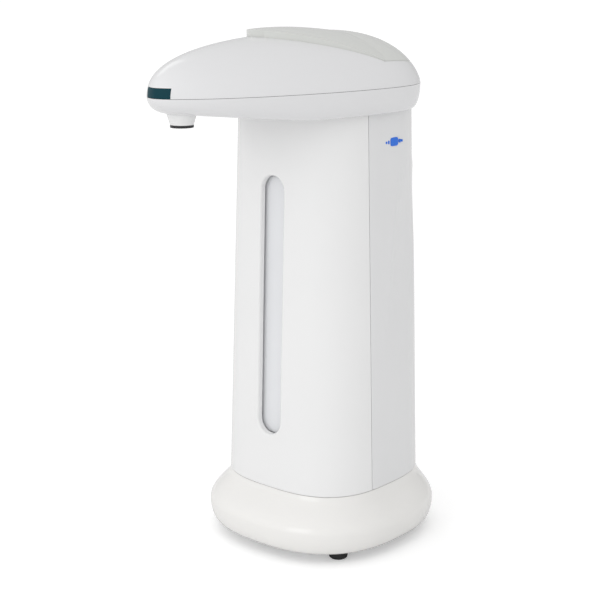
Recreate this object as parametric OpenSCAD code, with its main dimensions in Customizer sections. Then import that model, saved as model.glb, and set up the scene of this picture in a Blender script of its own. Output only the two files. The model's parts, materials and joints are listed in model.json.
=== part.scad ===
// Counter-top automatic soap dispenser: battery base, column with a soap tank, and a head with sensor and nozzle.
// The front, with the nozzle, faces -Y. The feet rest on Z = 0.

/* [Overall] */
// Height from the surface it stands on to the lid's raised tip
total_h = 190; // [180:1:230]
// Reach from the column's axis to the tip of the nose
nose_reach = 83; // [74:1:100]

/* [Base] */
// Width of the base, side to side
base_w = 80; // [76:1:100]
// Depth of the base, front to back
base_d = 80; // [76:1:100]
// Height of the seam between base and column
base_top_z = 23.7; // [23:0.1:30]
// Height of the base's rim above the surface it stands on
rim_z = 4; // [3:0.1:6]
// Wall of the base skirt
base_wall = 2.2; // [1.6:0.1:3]
// Distance of each foot from the base's middle, sideways
foot_x = 25.9; // [25.8:0.1:26.4]
// Distance of each foot from the base's middle, front to back
foot_y = 21; // [14:0.5:21.5]
// Diameter of a rubber foot
foot_d = 6.9; // [5:0.1:6.9]

/* [Column] */
// Width of the column at the base seam
column_w = 64.4; // [62:0.2:72]
// Width of the column under the head
column_top_w = 57; // [54:0.2:66]
// Front of the column to its axis, at the base seam
column_front = 31; // [30:0.1:36]
// Front of the column to its axis, under the head
column_top_front = 27; // [26:0.1:33]
// Back of the column to its axis, at the base seam
column_back = 34; // [33.5:0.1:36]
// Back of the column to its axis, under the head
column_top_back = 31.5; // [31:0.1:34]
// Wall of the column shells
shell_wall = 2.2; // [1.6:0.1:2.6]
// Distance of the vertical seam in front of the column's axis
side_seam_y = 9; // [4:0.5:16]

/* [Level window] */
// Width of the slot in the front shell
slot_w = 10.5; // [6:0.5:14]
// Lower end of the slot
slot_bottom_z = 44; // [42:0.5:60]
// Upper end of the slot
slot_top_z = 139; // [100:0.5:148]

/* [Head] */
// Width of the head at its seam
head_w = 68; // [66:0.5:76]
// Back of the head to the column's axis
head_back = 32.5; // [32:0.5:36]
// Height of the head's lower shell, from its floor to the seam
lower_shell_h = 9; // [9:0.5:14]
// Height of the lid's tip above the head's seam
head_rise = 20; // [19:0.5:26]
// Wall of the head shells
head_wall = 2; // [1.6:0.1:2.4]
// Distance from the column's axis to the nozzle
nozzle_reach = 71; // [62:0.5:80]
// Outer diameter of the nozzle's tip
nozzle_d = 7.8; // [7:0.1:10]
// Width of the sensor window across the nose
window_w = 10.5; // [9:0.5:14]

/* [Lid] */
// Thickness of the lid
lid_t = 2; // [1.6:0.1:3]
// Height of the finger step at the lid's tip
lid_step = 2.5; // [1.5:0.1:4]
// Diameter of the filler opening
filler_d = 28; // [24:0.5:29]

/* [Tank] */
// Wall of the tank
tank_wall = 1.6; // [1.2:0.1:2.4]
// Underside of the tank
tank_bottom_z = 42; // [42:0.5:48]
// Back of the tank to the column's axis
tank_back = 19; // [14:0.5:21]

/* [Pump and gears] */
// Teeth on the motor pinion
pinion_teeth = 10; // [10:1:12]
// Teeth on the reduction gear
reduction_teeth = 26; // [24:1:26]
// Module of the reduction gears
reduction_module = 0.5; // [0.4:0.05:0.5]
// Teeth on each pump gear
pump_teeth = 12; // [10:1:12]
// Module of the pump gears
pump_module = 0.7; // [0.5:0.05:0.7]
// Diameter of the drive shaft
shaft_d = 2.5; // [2:0.1:3]
// Height of the shaft centres
shaft_z = 33.8; // [33.4:0.1:34.2]

/* [Power button] */
// Diameter of the power button
button_d = 10; // [8:0.5:14]
// Height of the power button
button_z = 62; // [58:1:90]
// Travel of the power button
button_travel = 1.2; // [0.6:0.1:1.6]

/* [Clearances] */
// Gap between fixed covers that meet
cover_gap = 0.25; // [0.15:0.05:0.4]
// Gap round pieces that move
motion_gap = 0.35; // [0.3:0.05:0.5]
// Radial clearance of a turning shaft in its bore
shaft_fit = 0.05; // [0.02:0.01:0.08]

/* [Hidden] */
$fn = 40;
tiny = 0.01;

// Everything is laid out about the column's axis, then shifted so that the box's centre is the origin.
axis_y = (nose_reach - base_d / 2) / 2;

white = [0.93, 0.93, 0.92];
cool_white = [0.88, 0.90, 0.94];
dark = [0.08, 0.08, 0.09];
teal = [0.02, 0.16, 0.20];
blue = [0.05, 0.35, 0.85];
clear_lilac = [0.80, 0.82, 0.93, 0.55];
steel = [0.72, 0.73, 0.75];
brass = [0.80, 0.66, 0.35];
board_green = [0.10, 0.35, 0.20];
nylon = [0.90, 0.88, 0.80];
silicone = [0.85, 0.86, 0.88];

// ---- heights ----
seam_z = base_top_z;
head_seam_z = total_h - head_rise;
tray_t = 1.4;
deck_top_z = head_seam_z + 3;
head_floor_z = head_seam_z - lower_shell_h;
column_top_z = head_floor_z - cover_gap;
door_z = rim_z + 1.2;
plate_t = 2;

// ---- plan outlines ----
ring_points = 56;
base_power = 2.5;
column_power = 2.8;

function signed_power(v, e) = sign(v) * pow(abs(v), e);

// A rounded rectangle with its own depth in front of and behind the axis
function plan(half_w, front, back, power, z) = [
    for (i = [0 : ring_points - 1])
        let (a = 360 * i / ring_points, c = cos(a), s = sin(a))
        [half_w * signed_power(c, 2 / power), (s < 0 ? front : back) * signed_power(s, 2 / power), z]
];

// The head's outline: a rounded back and a beak that narrows towards the nose
beak_power = 1.6;
beak_round = 1.75;
back_power = 2.4;
head_axis_y = -1.5;
function beak_x(t) = pow(max(0, 1 - pow(t, beak_power)), 1 / beak_round);
function head_plan(half_w, front, back, z, ahead = 0) = [
    for (i = [0 : ring_points - 1])
        let (a = 360 * i / ring_points, c = cos(a), s = sin(a))
        s < 0
            ? [half_w * sign(c) * beak_x(-s), head_axis_y + ahead + front * s, z]
            : [half_w * signed_power(c, 2 / back_power), head_axis_y + ahead + back * signed_power(s, 2 / back_power), z]
];

// Skin through rings of equal length. A loop of rings closes on itself, otherwise the ends are capped:
// as one face each, as a band of faces where the rings are the outlines of a bent wall, or as strips
// from side to side where the rings are mirrored across X and rise along Y
module skin(rings, loop = false, band = false, mirrored = false) {
    m = len(rings);
    n = len(rings[0]);
    steps = loop ? m : m - 1;
    walls = [
        for (j = [0 : steps - 1], i = [0 : n - 1])
            let (k = (i + 1) % n, u = (j + 1) % m)
            each [[j * n + i, u * n + i, u * n + k], [j * n + i, u * n + k, j * n + k]]
    ];
    first = band
        ? [for (i = [0 : n / 2 - 2]) [i, i + 1, n - 2 - i, n - 1 - i]]
        : mirrored
            ? [for (i = [0 : n / 2 - 1])
                let (a = (3 * n / 4 + i) % n, b = (a + 1) % n, a2 = (3 * n / 2 - a) % n, b2 = (3 * n / 2 - b) % n)
                i == 0 ? [a, b, b2] : i == n / 2 - 1 ? [a, b, a2] : [a, b, b2, a2]]
            : [[for (i = [0 : n - 1]) i]];
    caps = loop ? [] : [for (f = first) each [f, [for (i = reversed(f)) (m - 1) * n + i]]];
    polyhedron([for (r = rings) each r], concat(walls, caps));
}

// A round bar along points of a path
module tube(path, d, sides = 8) {
    last = len(path) - 1;
    rings = [
        for (i = [0 : last])
            let (
                along = path[min(i + 1, last)] - path[max(i - 1, 0)],
                t = along / norm(along),
                side = abs(t[2]) > 0.9 ? [1, 0, 0] : [0, 0, 1],
                u0 = cross(t, side),
                u = u0 / norm(u0),
                v = cross(t, u)
            )
            [for (k = [0 : sides - 1]) path[i] + d / 2 * (cos(-360 * k / sides) * u + sin(-360 * k / sides) * v)]
    ];
    skin(rings);
}

// Points on straight runs joined by short curves at each corner
function smooth_path(p, r, steps = 5) = [
    p[0],
    for (i = [1 : len(p) - 2])
        let (
            a = p[i - 1] - p[i],
            b = p[i + 1] - p[i],
            s = p[i] + a / norm(a) * min(r, norm(a) / 2.1),
            e = p[i] + b / norm(b) * min(r, norm(b) / 2.1)
        )
        for (k = [0 : steps])
            let (t = k / steps)
            (1 - t) * (1 - t) * s + 2 * t * (1 - t) * p[i] + t * t * e,
    p[len(p) - 1]
];

module on_axis() { translate([0, axis_y, 0]) children(); }
module along_x(x, y, z) { translate([x, y, z]) rotate([0, 90, 0]) children(); }
module along_y(x, y, z) { translate([x, y, z]) rotate([-90, 0, 0]) children(); }
module four(dx, dy) {
    for (sx = [-1, 1], sy = [-1, 1]) translate([sx * dx, sy * dy, 0]) children();
}
module ring(outer_r, inner_r, h) {
    difference() {
        cylinder(r = outer_r, h = h);
        translate([0, 0, -1]) cylinder(r = inner_r, h = h + 2);
    }
}
module rounded_rect(w, d, r) {
    hull() for (sx = [-1, 1], sy = [-1, 1]) translate([sx * (w / 2 - r), sy * (d / 2 - r)]) circle(r, $fn = 32);
}

// A pan-head screw, its head's underside at the origin and its shank up +Z
module screw(head_r, shank_r, length, head_h = 1.6) {
    difference() {
        union() {
            translate([0, 0, -head_h]) cylinder(r = head_r, h = head_h);
            cylinder(r = shank_r, h = length);
        }
        for (a = [0, 90])
            rotate([0, 0, a]) translate([-head_r * 0.6, -0.35, -head_h - 1]) cube([head_r * 1.2, 0.7, 1.9]);
    }
}

// ---- base ----
widest_z = rim_z + 7.5;
rim_tuck = 3.2;
function skirt_grow(z) = z >= widest_z
    ? let (s = (z - widest_z) / (seam_z - widest_z)) pow(0.5 + 0.5 * cos(180 * s), 0.85)
    : 1;
function skirt_tuck(z) = z >= widest_z
    ? 0
    : let (t = 0.96 * (widest_z - z) / (widest_z - rim_z)) rim_tuck * (1 - sqrt(1 - t * t));
function blend(low, high, t) = low + (high - low) * t;
function skirt_ring(z, inset) = plan(
    blend(column_w / 2, base_w / 2, skirt_grow(z)) - skirt_tuck(z) - inset,
    blend(column_front, base_d / 2, skirt_grow(z)) - skirt_tuck(z) - inset,
    blend(column_back, base_d / 2, skirt_grow(z)) - skirt_tuck(z) - inset,
    blend(column_power, base_power, skirt_grow(z)),
    z
);
skirt_levels = [0, 0.12, 0.3, 0.6, 1];
bell_levels = [0.15, 0.3, 0.45, 0.6, 0.75, 0.88];
skirt_z = [
    for (t = skirt_levels) rim_z + t * (widest_z - rim_z),
    for (t = bell_levels) widest_z + t * (seam_z - widest_z)
];
ledge_t = 2;
ledge_in = 5;
pillar_r = 2.6;
base_screw_r = 1.1;
plate_in = base_wall + 0.3 + rim_tuck;
module skirt_shell() {
    ledge = plan(column_w / 2 - ledge_in, column_front - ledge_in, column_back - ledge_in, column_power, seam_z);
    skin(concat(
        [for (z = skirt_z) skirt_ring(z, 0)],
        [skirt_ring(seam_z, 0), ledge, [for (p = ledge) p - [0, 0, ledge_t]]],
        [for (i = [len(skirt_z) - 1 : -1 : 0])
            if (skirt_z[i] < seam_z - ledge_t - 0.8) skirt_ring(skirt_z[i], base_wall)]
    ), loop = true);
}
// Places of the four screws that hold the base plate to the skirt
screw_x = base_w / 2 - 8.2;
screw_y = base_d / 2 - 8.2;
module at_base_screws() {
    for (p = [[screw_x, 0], [-screw_x, 0], [0, screw_y], [0, -screw_y]]) translate([p[0], p[1], 0]) children();
}
module base_skirt() {
    color(white) on_axis() difference() {
        union() {
            skirt_shell();
            at_base_screws() translate([0, 0, door_z + plate_t + 0.1])
                cylinder(r = pillar_r, h = widest_z + 2.5 - door_z - plate_t);
            for (a = [0, 90, 180, 270]) rotate([0, 0, a])
                translate([(a % 180 == 0 ? screw_x : screw_y) + pillar_r - 0.8, -0.8, door_z + plate_t + 2])
                    cube([4.6, 1.6, 4]);
        }
        at_base_screws() cylinder(r = base_screw_r, h = widest_z + 1);
    }
}

// Battery well, from below: four cells side by side
cell_d = 10.5;
cell_l = 44.5;
cell_pitch = 11;
well_w = cell_l + 1;
well_d = 4 * cell_pitch + 0.6;
well_wall = 1.4;
door_t = 1.6;
well_roof_z = door_z + door_t + cell_d + 1.2;
hinge_r = 1.2;
hinge_stub_r = 0.7;
hinge_y = well_d / 2 - hinge_r - 0.35;
hinge_z = door_z + hinge_r;
tab_w = 12;
tab_reach = 4;
foot_boss_r = 3.2;
pad_h = rim_z - 1.6;
module plate_outline(inset) {
    polygon([for (p = plan(base_w / 2 - inset, base_d / 2 - inset, base_d / 2 - inset, base_power, 0)) [p[0], p[1]]]);
}
module base_plate() {
    color(white) on_axis() difference() {
        union() {
            translate([0, 0, door_z]) linear_extrude(plate_t) plate_outline(plate_in);
            translate([-well_w / 2 - well_wall, -well_d / 2 - well_wall, door_z])
                cube([well_w + 2 * well_wall, well_d + 2 * well_wall, well_roof_z + well_wall - door_z]);
            four(foot_x, foot_y) translate([0, 0, pad_h]) cylinder(r = foot_boss_r, h = door_z - pad_h + 1);
        }
        // the well, open below
        translate([-well_w / 2, -well_d / 2, door_z - 1]) cube([well_w, well_d, well_roof_z - door_z + 1]);
        // room for the door's finger tab, and sockets for its hinge stubs
        translate([-tab_w / 2 - motion_gap, -well_d / 2 - tab_reach - motion_gap, door_z - 1])
            cube([tab_w + 2 * motion_gap, tab_reach + 2, plate_t + 2]);
        along_x(-well_w / 2 - 1, hinge_y, hinge_z) cylinder(r = hinge_stub_r + shaft_fit, h = well_w + 2);
        at_base_screws() translate([0, 0, door_z - 1]) cylinder(r = base_screw_r + 0.15, h = plate_t + 2);
        // wire exit through the well's roof
        translate([12, 6, well_roof_z - 1]) cylinder(r = 2, h = well_wall + 2);
    }
}
module battery_door() {
    color(white) on_axis() difference() {
        union() {
            translate([-well_w / 2 + motion_gap, -well_d / 2 + motion_gap, door_z])
                cube([well_w - 2 * motion_gap, hinge_y + well_d / 2 - motion_gap, door_t]);
            translate([-tab_w / 2, -well_d / 2 - tab_reach, door_z]) cube([tab_w, tab_reach + 1, door_t]);
            along_x(-well_w / 2 + motion_gap, hinge_y, hinge_z) cylinder(r = hinge_r, h = well_w - 2 * motion_gap);
            along_x(-well_w / 2 - 0.9, hinge_y, hinge_z) cylinder(r = hinge_stub_r, h = well_w + 1.8);
        }
        // finger grooves
        for (k = [0 : 2]) translate([-5, -well_d / 2 + 2 + 2.4 * k, door_z - 1]) cube([10, 1.2, 1.5]);
        translate([-3, -well_d / 2 - tab_reach - 1, door_z - 1]) cube([6, 2.2, 1.8]);
    }
}
cell_z = door_z + door_t + 0.4 + cell_d / 2;
function cell_y(k) = (k - 1.5) * cell_pitch;
module battery_cells() {
    color([0.15, 0.25, 0.45]) on_axis() for (k = [0 : 3])
        mirror([k % 2, 0, 0]) along_x(-cell_l / 2 + 0.4, cell_y(k), cell_z) {
            cylinder(r = cell_d / 2 - 0.05, h = cell_l - 1.4);
            translate([0, 0, cell_l - 1.5]) cylinder(r = 1.9, h = 0.9);
        }
}
module battery_contacts() {
    color(steel) on_axis() for (k = [0 : 3]) mirror([k % 2, 0, 0]) {
        translate([-well_w / 2 + 0.05, cell_y(k) - 4, cell_z - 4]) cube([0.3, 8, 8]);
        translate([well_w / 2 - 0.35, cell_y(k) - 4, cell_z - 4]) cube([0.3, 8, 8]);
    }
}
module rubber_feet() {
    color(dark) on_axis() four(foot_x, foot_y) rotate_extrude()
        polygon([[0, 0], [foot_d / 2 - 0.5, 0], [foot_d / 2 - 0.1, 0.4], [foot_d / 2, 0.9],
            [foot_d / 2, pad_h - tiny], [0, pad_h - tiny]]);
}
module base_screws() {
    color(steel) on_axis() at_base_screws() translate([0, 0, door_z - 0.02])
        screw(2, base_screw_r - 0.1, widest_z - door_z - 0.6, 1.1);
}

// ---- column ----
function column_t(z) = (z - seam_z) / (column_top_z - seam_z);
function column_half(z) = blend(column_w, column_top_w, column_t(z)) / 2;
function column_fore(z) = blend(column_front, column_top_front, column_t(z));
// The rear shell is fuller below a soft shoulder near the top
shoulder_z = 146;
shoulder_h = 7;
shoulder_in = 1.4;
function shoulder(z) =
    let (t = max(0, min(1, (z - shoulder_z + shoulder_h) / shoulder_h))) t * t * (3 - 2 * t) * shoulder_in;
function column_aft(z) = blend(column_back, column_top_back, column_t(z)) - shoulder(z);

// A long shallow grip is scooped out of each side of the rear shell
grip_depth = 2;
grip_top_z = 147;
grip_bottom_z = 68;
grip_low_y = 12;
grip_top_y = 21;
grip_half = 11;
function hump(v) = abs(v) >= 1 ? 0 : pow(cos(90 * v), 1.3);
function grip(y, z) =
    let (
        high = max(0, min(1, (z - grip_bottom_z) / (grip_top_z - grip_bottom_z))),
        middle = blend(grip_low_y, grip_top_y, high * high)
    )
    grip_depth * hump((y - middle) / grip_half) * hump(2 * pow(high, 1.4) - 1);

// Half of a column outline: the front part ahead of the side seam, or the rear part behind it
half_points = 28;
function wall_x(y, z, inset) =
    let (
        depth = y < 0 ? column_fore(z) - inset : column_aft(z) - inset,
        r = min(1, abs(y) / depth)
    )
    (column_half(z) - inset) * pow(1 - pow(r, column_power), 1 / column_power);
// Share of the way from the seam to the centre line, closer together where the corner bends
function spread(i) = sin(90 * i / half_points);
function front_half(z, inset) = [
    for (i = [0 : half_points])
        let (y = blend(-side_seam_y, -(column_fore(z) - inset), spread(i))) [wall_x(y, z, inset), y, z]
];
function rear_half(z, inset, seam) = [
    for (i = [0 : half_points])
        let (y = blend(seam, column_aft(z) - inset, spread(i))) [wall_x(y, z, inset) - grip(y, z), y, z]
];
function flip(p) = [-p[0], p[1], p[2]];
function reversed(v) = [for (i = [len(v) - 1 : -1 : 0]) v[i]];
// A closed U outline of the given wall, drawn from one seam round to the other and back inside
function u_ring(outer, inner) = concat(
    outer,
    [for (i = [len(outer) - 2 : -1 : 0]) flip(outer[i])],
    [for (i = [0 : len(inner) - 1]) flip(inner[i])],
    [for (i = [len(inner) - 2 : -1 : 0]) inner[i]]
);
shell_bottom_z = seam_z + cover_gap;
module slot_cut(w, low, high, from_y, depth) {
    translate([0, from_y, 0]) rotate([90, 0, 0]) linear_extrude(depth) hull() {
        translate([0, low + w / 2]) circle(w / 2);
        translate([0, high - w / 2]) circle(w / 2);
    }
}
module front_shell() {
    levels = [shell_bottom_z, 70, 115, column_top_z];
    color(white) on_axis() difference() {
        skin([for (z = reversed(levels)) u_ring(front_half(z, 0), front_half(z, shell_wall))], band = true);
        slot_cut(slot_w, slot_bottom_z, slot_top_z, -15, 30);
    }
}
rear_levels = [0, 0.12, 0.24, 0.36, 0.46, 0.56, 0.66, 0.74, 0.8, 0.85, 0.9, 1];
rear_screw_z = 34;
rear_screw_x = 8;
rear_seat_y = column_aft(rear_screw_z) - 1.2;
module rear_shell() {
    seam = -side_seam_y + cover_gap;
    color(cool_white) on_axis() difference() {
        skin([
            for (t = rear_levels)
                let (z = blend(shell_bottom_z, column_top_z, t))
                u_ring(rear_half(z, 0, seam), rear_half(z, shell_wall, seam))
        ], band = true);
        along_y(0, 20, button_z) cylinder(r = button_d / 2 + motion_gap, h = 30);
        for (s = [-1, 1]) {
            along_y(s * rear_screw_x, 20, rear_screw_z) cylinder(r = 1.4, h = 30);
            along_y(s * rear_screw_x, rear_seat_y, rear_screw_z) cylinder(r = 2.5, h = 5);
        }
    }
}
module rear_screws() {
    color(steel) on_axis() for (s = [-1, 1])
        translate([s * rear_screw_x, rear_seat_y + 0.02, rear_screw_z]) rotate([90, 0, 0]) screw(2.2, 1.1, 6, 0.8);
}

// A small mark let into the side of the rear shell: a rounded lozenge between rows of dots
badge_y = 5;
badge_z = 150.3;
module side_badge() {
    color(blue) on_axis() {
        badge_x = wall_x(badge_y, badge_z, 0) - 0.25;
        lean = atan2(column_half(shell_bottom_z) - column_half(column_top_z), column_top_z - shell_bottom_z);
        translate([badge_x, badge_y, badge_z]) rotate([0, -lean, 0]) rotate([0, 90, 0]) rotate([0, 0, 90]) {
            linear_extrude(0.45) rounded_rect(4.4, 3, 0.9);
            for (s = [-1, 1], k = [0 : 1]) translate([s * (3.2 + 1.3 * k), 0, 0])
                linear_extrude(0.45) rounded_rect(0.8, 1.3 - 0.4 * k, 0.35);
        }
    }
}

// ---- power button, switch and board, behind the tank ----
button_flange_r = button_d / 2 + 1.2;
button_face_y = column_aft(button_z) + 0.6;
button_back_y = column_aft(button_z) - shell_wall - motion_gap - button_travel;
module power_button() {
    color([0.8, 0.81, 0.83]) on_axis() along_y(0, button_back_y - 1.2, button_z) {
        cylinder(r = button_flange_r, h = 1.2);
        cylinder(r = button_d / 2, h = button_face_y - button_back_y + 0.8);
        translate([0, 0, -1]) cylinder(r = 1.5, h = 1.2);
    }
}
board_t = 1.2;
board_y = tank_back + 2.2;
board_w = 20;
board_low_z = 48;
board_high_z = 84;
switch_body = 2.2;
module power_switch() {
    color(dark) on_axis() {
        translate([-3, board_y + board_t, button_z - 3]) cube([6, switch_body, 6]);
        along_y(0, board_y + board_t + switch_body, button_z)
            cylinder(r = 1.6, h = button_back_y - 2.2 - motion_gap - button_travel - board_y - board_t - switch_body);
    }
}
module control_board() {
    color(board_green) on_axis() difference() {
        translate([-board_w / 2, board_y, board_low_z]) cube([board_w, board_t, board_high_z - board_low_z]);
        for (sx = [-1, 1]) along_y(sx * (board_w / 2 - 2.5), board_y - 1, board_high_z - 3)
            cylinder(r = 1.1, h = 4);
    }
}
module board_components() {
    color(dark) on_axis() {
        translate([-8, board_y + board_t, board_high_z - 12]) cube([7, 1.6, 7]);
        translate([2, board_y + board_t, board_high_z - 10]) cube([5, 1.4, 4]);
        along_y(7, board_y + board_t, button_z - 6) cylinder(r = 2.2, h = 4.5);
        translate([-8, board_y + board_t, board_low_z + 1]) cube([6, 4, 4]);
        translate([2, board_y + board_t, board_low_z + 1]) cube([5, 4, 4]);
    }
}

// ---- chassis deck: carries the motor and the pump on top of the base ----
deck_z = seam_z + cover_gap;
deck_t = 1.8;
deck_in = shell_wall + 0.5;
motor_y = 7;
motor_r = 10;
motor_flat = 7.4;
motor_x0 = -27;
motor_l = 25;
module chassis_deck() {
    outline = plan(column_w / 2 - deck_in, column_front - deck_in, column_back - deck_in, column_power, 0);
    color(nylon) on_axis() difference() {
        union() {
            translate([0, 0, deck_z]) linear_extrude(deck_t) polygon([for (p = outline) [p[0], p[1]]]);
            // posts that take the rear screws
            for (s = [-1, 1]) translate([s * rear_screw_x - 3.5, column_aft(rear_screw_z) - shell_wall - 6.6, deck_z])
                cube([7, 5.4, rear_screw_z - deck_z + 4]);
        }
        for (s = [-1, 1]) along_y(s * rear_screw_x, 20, rear_screw_z) cylinder(r = 1.15, h = 20);
        translate([0, 24, deck_z - 1]) cylinder(r = 2.5, h = deck_t + 2);
        translate([-18, -16, deck_z - 1]) cube([10, 8, deck_t + 2]);
    }
}

// ---- gears ----
gear_angle = 25;
function involute(base_r, r) = r <= base_r ? 0 : sqrt(r * r / (base_r * base_r) - 1) * 180 / PI - acos(base_r / r);
function tooth_half(teeth, module_mm, backlash) = 90 / teeth - backlash / (teeth * module_mm / 2) * 180 / PI / 2;
module gear_outline(teeth, module_mm, backlash = 0.06) {
    pitch_r = teeth * module_mm / 2;
    base_r = pitch_r * cos(gear_angle);
    root_r = pitch_r - 1.2 * module_mm;
    tip_r = pitch_r + 0.85 * module_mm;
    flank = [for (t = [0, 0.3, 0.6, 0.8, 1]) max(base_r, root_r) + t * (tip_r - max(base_r, root_r))];
    half = tooth_half(teeth, module_mm, backlash);
    function flank_angle(r) = half + involute(base_r, pitch_r) - involute(base_r, r);
    function spot(r, a) = [r * cos(a), r * sin(a)];
    polygon([
        for (i = [0 : teeth - 1])
            let (mid = 360 * i / teeth)
            each concat(
                [spot(root_r, mid - flank_angle(base_r))],
                [for (r = flank) spot(r, mid - flank_angle(r))],
                [for (k = [len(flank) - 1 : -1 : 0]) spot(flank[k], mid + flank_angle(flank[k]))],
                [spot(root_r, mid + flank_angle(base_r))]
            )
    ]);
}
drive_y = motor_y - reduction_module * (pinion_teeth + reduction_teeth) / 2;
idler_y = drive_y - pump_module * pump_teeth;
mesh_y = (drive_y + idler_y) / 2;
// Gears lie across X: a tooth points towards -Y when turned by 90
module gear_at(x, y, h, teeth, module_mm, bore_r, turn) {
    along_x(x, y, shaft_z) difference() {
        rotate([0, 0, -90 + turn]) linear_extrude(h) gear_outline(teeth, module_mm);
        translate([0, 0, -1]) cylinder(r = bore_r, h = h + 2);
    }
}
gear_x = 0.5;
gear_h = 4;
pump_x = 9;
pump_cover_t = 2;
pump_gear_h = 6;
chamber_x = pump_x + pump_cover_t;
pump_end_x = chamber_x + pump_gear_h + 0.3 + 2.5;
shaft_r = shaft_d / 2;
idler_pin_r = 1;
motor_shaft_r = 1;
chamber_r = pump_module * (pump_teeth / 2 + 0.85) + 0.15;
block_h = 2 * chamber_r + 2.6;
pump_block_z = shaft_z - block_h / 2;
block_y0 = idler_y - chamber_r - 1.8;
block_y1 = drive_y + chamber_r + 1.8;
module pump_drive_gear() {
    color(nylon) on_axis()
        gear_at(chamber_x + 0.15, drive_y, pump_gear_h, pump_teeth, pump_module, shaft_r + 0.02, 0);
}
module pump_idler_gear() {
    color(nylon) on_axis()
        gear_at(chamber_x + 0.15, idler_y, pump_gear_h, pump_teeth, pump_module, idler_pin_r + shaft_fit,
            180 / pump_teeth);
}
module idler_pin() {
    color(steel) on_axis()
        along_x(chamber_x + 0.05, idler_y, shaft_z) cylinder(r = idler_pin_r, h = pump_gear_h + 1.8);
}
module drive_shaft() {
    color(steel) on_axis()
        along_x(-0.6, drive_y, shaft_z) cylinder(r = shaft_r, h = chamber_x + pump_gear_h + 2);
}
module reduction_gear() {
    color(nylon) on_axis() gear_at(gear_x, drive_y, gear_h, reduction_teeth, reduction_module, shaft_r + 0.02, 180);
}
module motor_pinion() {
    color(brass) on_axis() gear_at(gear_x - 0.3, motor_y, gear_h + 0.6, pinion_teeth, reduction_module,
        motor_shaft_r + 0.02, 180 / pinion_teeth);
}
module motor_shaft() {
    color(steel) on_axis()
        along_x(motor_x0 + 3, motor_y, shaft_z) cylinder(r = motor_shaft_r, h = gear_x + gear_h + 1 - motor_x0 - 3);
}
module motor_can() {
    color(steel) on_axis() along_x(motor_x0 + 4, motor_y, shaft_z) difference() {
        intersection() {
            cylinder(r = motor_r, h = motor_l - 4);
            translate([-motor_flat, -motor_r - 1, 0]) cube([2 * motor_flat, 2 * motor_r + 2, motor_l]);
        }
        translate([0, 0, -1]) intersection() {
            cylinder(r = motor_r - 1, h = motor_l - 4);
            translate([-motor_flat + 1, -motor_r, 0]) cube([2 * motor_flat - 2, 2 * motor_r, motor_l]);
        }
        cylinder(r = motor_shaft_r + shaft_fit, h = motor_l);
    }
}
module motor_end_cap() {
    color([0.9, 0.9, 0.85]) on_axis() along_x(motor_x0, motor_y, shaft_z) difference() {
        union() {
            intersection() {
                cylinder(r = motor_r, h = 4 - 0.02);
                translate([-motor_flat, -motor_r - 1, 0]) cube([2 * motor_flat, 2 * motor_r + 2, motor_l]);
            }
            for (s = [-1, 1]) translate([-1, s * 6 - 0.3, -1.6]) cube([2, 0.6, 2]);
        }
        translate([0, 0, 2.5]) cylinder(r = motor_shaft_r + shaft_fit, h = 4);
    }
}
module gear_bracket() {
    bracket_x = gear_x + gear_h + 1.2;
    low = deck_z + deck_t + 0.02;
    color(nylon) on_axis() difference() {
        union() {
            translate([bracket_x, block_y0, low]) cube([2.4, motor_y + 9 - block_y0, shaft_z + 5.6 - low]);
            translate([-1.9, motor_y + 10.3, low]) cube([bracket_x + 2.4 + 1.9, 1.6, shaft_z + 3 - low]);
            translate([bracket_x, motor_y + 8, low]) cube([2.4, 3.9, shaft_z + 3 - low]);
            translate([bracket_x, block_y0, low])
                cube([pump_end_x - bracket_x, block_y1 - block_y0, pump_block_z - low - 0.02]);
        }
        along_x(bracket_x - 1, drive_y, shaft_z) cylinder(r = shaft_r + shaft_fit, h = 5);
        along_x(bracket_x - 1, motor_y, shaft_z) cylinder(r = 3.4, h = 5);
    }
}
module pump_screw_spots() {
    for (s = [-1, 1]) translate([0, (s > 0 ? block_y1 - 1.4 : block_y0 + 1.4), shaft_z + s * (block_h / 2 - 1.6)])
        children();
}
module pump_body() {
    color(nylon) on_axis() difference() {
        translate([chamber_x + 0.02, block_y0, pump_block_z])
            cube([pump_end_x - chamber_x, block_y1 - block_y0, block_h]);
        for (y = [drive_y, idler_y]) along_x(chamber_x - 1, y, shaft_z) cylinder(r = chamber_r, h = pump_gear_h + 1.3);
        along_x(chamber_x, drive_y, shaft_z) cylinder(r = shaft_r + shaft_fit, h = pump_gear_h + 2);
        along_x(chamber_x, idler_y, shaft_z) cylinder(r = idler_pin_r + 0.01, h = pump_gear_h + 2);
        // ports above and below the mesh
        translate([chamber_x + 3, mesh_y, shaft_z]) cylinder(r = 1.2, h = 12);
        along_x(chamber_x + 3, mesh_y, shaft_z - 3) cylinder(r = 1.2, h = 12);
        pump_screw_spots() along_x(chamber_x - 1, 0, 0) cylinder(r = 0.7, h = 7);
    }
}
module pump_cover() {
    color(nylon) on_axis() difference() {
        translate([pump_x, block_y0, pump_block_z]) cube([pump_cover_t, block_y1 - block_y0, block_h]);
        along_x(pump_x - 1, drive_y, shaft_z) cylinder(r = shaft_r + shaft_fit, h = pump_cover_t + 2);
        along_x(pump_x - 1, drive_y, shaft_z) cylinder(r = shaft_r + 1.3, h = 2.1);
        pump_screw_spots() along_x(pump_x - 1, 0, 0) cylinder(r = 0.8, h = pump_cover_t + 2);
    }
}
module pump_screws() {
    color(steel) on_axis() pump_screw_spots() along_x(pump_x - 0.02, 0, 0) screw(1.3, 0.6, 7, 0.8);
}
module shaft_seal() {
    color(dark) on_axis() along_x(pump_x + 0.1, drive_y, shaft_z) ring(shaft_r + 1.2, shaft_r + shaft_fit, 0.9);
}

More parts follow.
